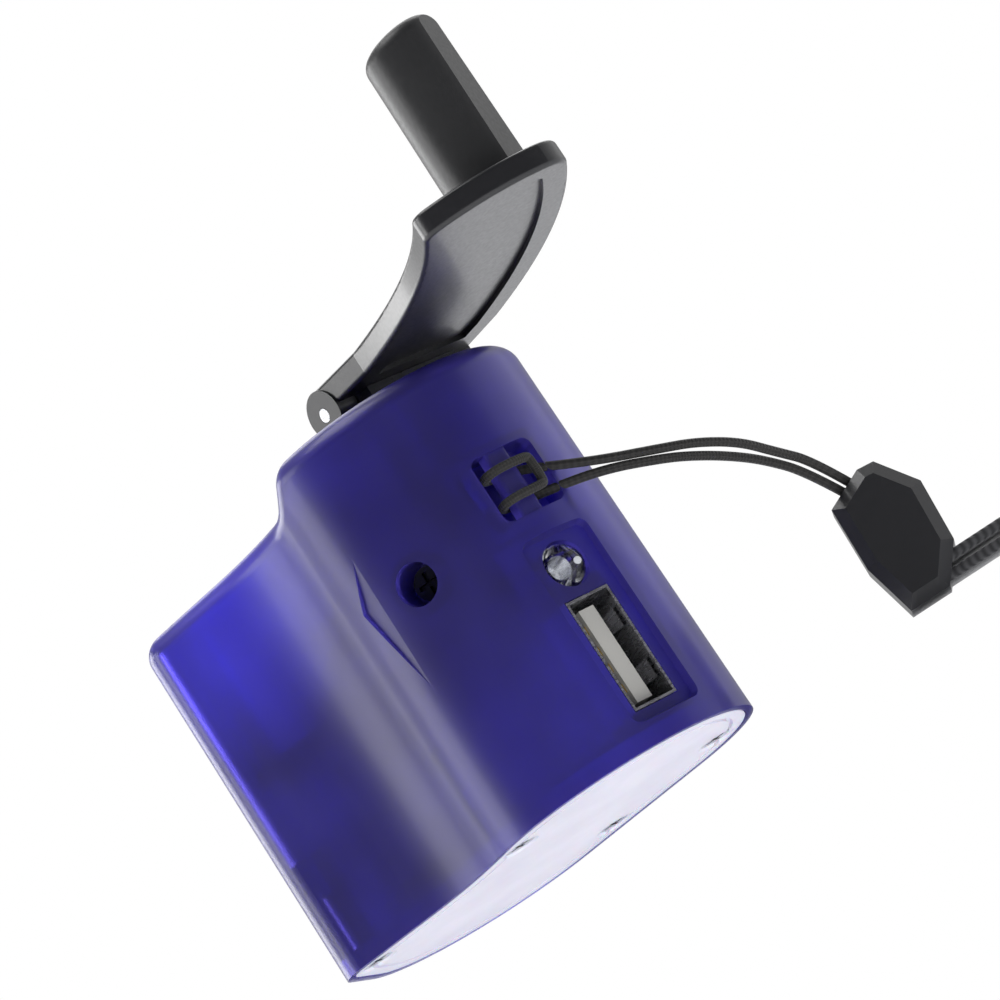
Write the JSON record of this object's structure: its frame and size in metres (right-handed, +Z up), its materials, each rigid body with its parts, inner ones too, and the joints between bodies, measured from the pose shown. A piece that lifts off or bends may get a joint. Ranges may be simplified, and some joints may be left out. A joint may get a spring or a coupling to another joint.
{
  "type": "hand crank phone charger",
  "caption": "pocket-sized dynamo charger with a folding crank on its roof, a socket and a light on its round nose, and a wrist lanyard",
  "frame": {"origin": "where the crank's axis meets the plane the charger stands on", "axes": "+Z up along the crank's axis, +X towards the round nose, -Y towards the waisted side"},
  "size_m": [0.1253, 0.0828, 0.0704],
  "materials": {
    "blue_plastic": "translucent, glossy",
    "white_plastic": "satin",
    "black_plastic": "satin",
    "grip_plastic": "soft satin",
    "gear_plastic": "natural nylon",
    "frame_plastic": "moulded",
    "steel": "bright",
    "dark_screw": "blackened",
    "bronze": "sintered",
    "copper": "enamelled wire",
    "magnet": "ferrite",
    "board": "lacquered",
    "component": "moulded",
    "gold": "plated",
    "clear_plastic": "clear",
    "tongue_plastic": "satin",
    "wire_red": "insulation",
    "wire_black": "insulation",
    "cord": "braided"
  },
  "bodies": {
    "charger_body": {"housing": "blue_plastic", "bottom_cover": "white_plastic", "cover_screws": "steel", "gear_plate": "frame_plastic", "plate_screws": "steel", "axle_1": "steel", "axle_2": "steel", "roof_bush": "black_plastic", "lower_bush": "bronze", "generator_can": "steel", "generator_end_cap": "black_plastic", "brushes": "bronze", "generator_magnets": "magnet", "generator_screws": "steel", "usb_shell": "steel", "usb_tongue": "tongue_plastic", "usb_contacts": "gold", "led": "clear_plastic", "led_leads": "steel", "circuit_board": "board", "capacitor": "component", "inductor": "component", "regulator": "component", "diodes": "component", "wire_red": "wire_red", "wire_black": "wire_black", "side_screw": "dark_screw", "lanyard_cord": "cord", "lanyard_cap": "black_plastic", "wrist_strap": "cord"},
    "crank": {"drive_gear": "gear_plastic", "crank_shaft": "steel", "drive_pin": "steel", "shaft_clip": "steel", "crank_hub": "black_plastic", "hinge_pin": "steel"},
    "arm": {"crank_arm": "black_plastic", "grip_axle": "steel"},
    "grip_body": {"grip": "grip_plastic", "grip_cap": "grip_plastic"},
    "first_gear_body": {"first_gear": "gear_plastic"},
    "second_gear_body": {"second_gear": "gear_plastic"},
    "rotor": {"rotor_shaft": "steel", "armature": "steel", "armature_coils": "copper", "commutator": "copper", "rotor_pinion": "bronze"}
  },
  "joints": [
    {"name": "crank_turn", "type": "hinge", "parent": "charger_body", "child": "crank", "pos_m": [0, 0, 0.04], "axis": [0, 0, 1], "continuous": true},
    {"name": "arm_fold", "type": "hinge", "parent": "crank", "child": "arm", "pos_m": [0, 0, 0.0493], "axis": [-0.4695, -0.8829, 0], "range_deg": [0, 180]},
    {"name": "grip_spin", "type": "hinge", "parent": "arm", "child": "grip_body", "pos_m": [0.03328, -0.02879, 0.06], "axis": [0, 0, 1], "continuous": true},
    {"name": "first_gear_turn", "type": "hinge", "parent": "charger_body", "child": "first_gear_body", "pos_m": [-0.01189, -0.00386, 0.03], "axis": [0, 0, 1], "continuous": true},
    {"name": "second_gear_turn", "type": "hinge", "parent": "charger_body", "child": "second_gear_body", "pos_m": [-0.01511, 0.00613, 0.03], "axis": [0, 0, 1], "continuous": true},
    {"name": "rotor_turn", "type": "hinge", "parent": "charger_body", "child": "rotor", "pos_m": [-0.0225, 0.001, 0.015], "axis": [0, 0, 1], "continuous": true}
  ],
  "couplings": [
    {"joint": "first_gear_turn", "follows": "crank_turn", "ratio": -4},
    {"joint": "second_gear_turn", "follows": "crank_turn", "ratio": 12.8},
    {"joint": "rotor_turn", "follows": "crank_turn", "ratio": -33.28}
  ]
}
